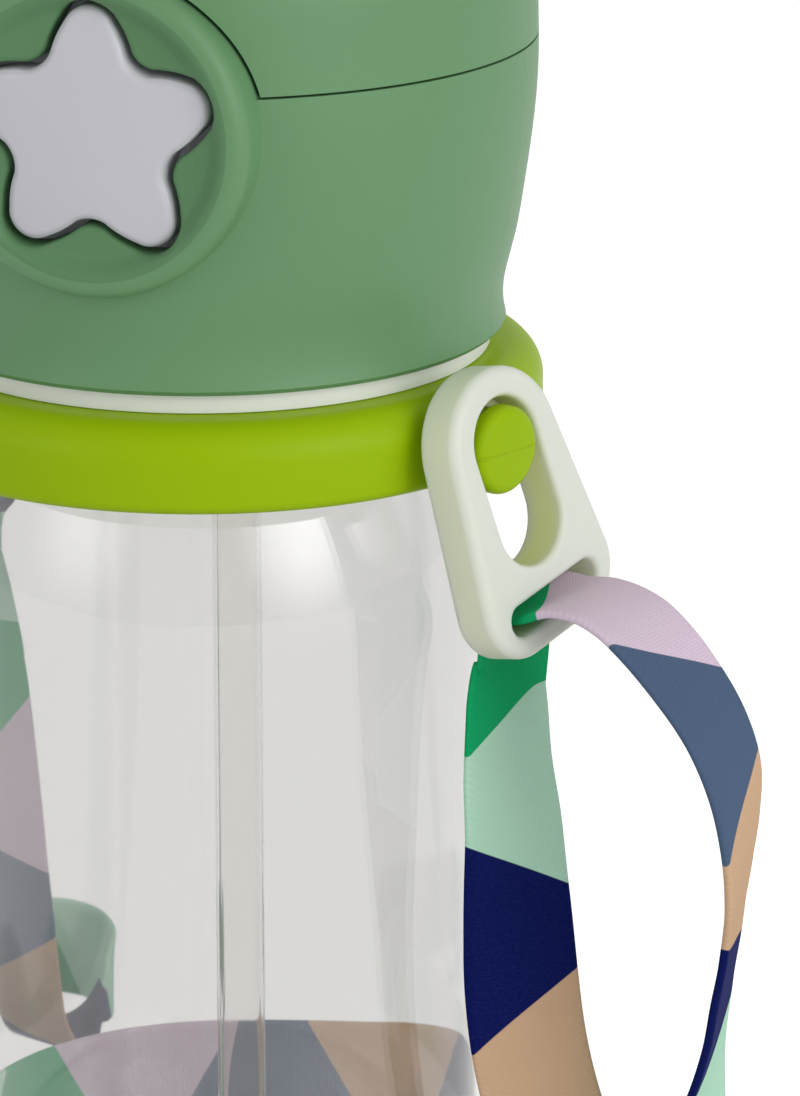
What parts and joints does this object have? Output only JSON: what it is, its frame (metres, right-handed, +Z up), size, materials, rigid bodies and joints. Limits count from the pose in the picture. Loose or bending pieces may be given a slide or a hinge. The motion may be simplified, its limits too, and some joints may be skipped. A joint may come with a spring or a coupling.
{
  "type": "kids water bottle",
  "caption": "Clear bottle with a screw lid, round push button, flip cover, folding spout and straw, a soft neck ring with two tabs and a printed webbing shoulder strap.",
  "frame": {"origin": "centre of the base, on the surface the bottle stands on", "axes": "+Z up along the bottle, -Y is the front with the round button, +X is to the right when facing the button"},
  "size_m": [0.1567, 0.1272, 0.1981],
  "materials": {
    "clear_plastic": "clear, polished",
    "lime_rubber": "satin",
    "cream_rubber": "satin",
    "sage_plastic": "fine matte",
    "pale_plastic": "satin",
    "white_plastic": "satin",
    "straw_plastic": "clear",
    "silicone": "milky",
    "steel": "drawn wire",
    "webbing": "woven, printed colour blocks"
  },
  "bodies": {
    "bottle": {"bottle_body": "clear_plastic", "neck_ring": "lime_rubber", "strap_outer_leg": "webbing", "strap_inner_leg": "webbing", "strap_back_run": "webbing", "strap_left_leg": "webbing", "strap_slider": "white_plastic", "strap_coil": "webbing"},
    "tab_right": {"tab_right": "cream_rubber", "strap_right_top": "webbing"},
    "tab_left": {"tab_left": "cream_rubber", "strap_left_top": "webbing"},
    "seal": {"gasket": "silicone"},
    "lid": {"lid_shell": "sage_plastic", "lid_liner": "sage_plastic", "button_bezel": "sage_plastic", "button_spring": "steel", "hinge_pin": "steel", "cover_spring": "steel", "spout_cradle": "white_plastic", "cradle_screws": "steel", "straw_socket": "white_plastic", "straw_tube": "straw_plastic", "vent_valve": "silicone"},
    "button": {"star_button": "pale_plastic"},
    "cover": {"flip_cover": "sage_plastic", "cover_catch": "white_plastic"},
    "spout": {"spout_barrel": "white_plastic", "mouthpiece": "silicone"}
  },
  "joints": [
    {"name": "lid_rise", "type": "slide", "parent": "bottle", "child": "seal", "axis": [0, 0, 1], "range_m": [0, 0.0045]},
    {"name": "lid_turn", "type": "hinge", "parent": "seal", "child": "lid", "pos_m": [0, 0, 0.144], "axis": [0, 0, 1], "range_deg": [0, 180]},
    {"name": "cover_open", "type": "hinge", "parent": "lid", "child": "cover", "pos_m": [0, 0.0452, 0.1683], "axis": [-1, 0, 0], "range_deg": [0, 115]},
    {"name": "spout_rise", "type": "hinge", "parent": "lid", "child": "spout", "pos_m": [0, 0.01096, 0.1544], "axis": [-1, 0, 0], "range_deg": [0, 75]},
    {"name": "button_press", "type": "slide", "parent": "lid", "child": "button", "axis": [0, 1, 0], "range_m": [0, 0.0025], "stiffness_N_per_m": 500, "springref_m": -0.001, "deforming": ["button_spring"]},
    {"name": "tab_right_swing", "type": "hinge", "parent": "bottle", "child": "tab_right", "pos_m": [0.04277, -0.01949, 0.1234], "axis": [0.91, -0.4147, 0], "range_deg": [-45, 45]},
    {"name": "tab_left_swing", "type": "hinge", "parent": "bottle", "child": "tab_left", "pos_m": [-0.04277, 0.01949, 0.1234], "axis": [-0.91, 0.4147, 0], "range_deg": [-45, 45]}
  ],
  "couplings": [
    {"joint": "lid_rise", "follows": "lid_turn", "m_per_rad": 0.0014324},
    {"joint": "spout_rise", "follows": "cover_open", "ratio": 0.65217}
  ]
}
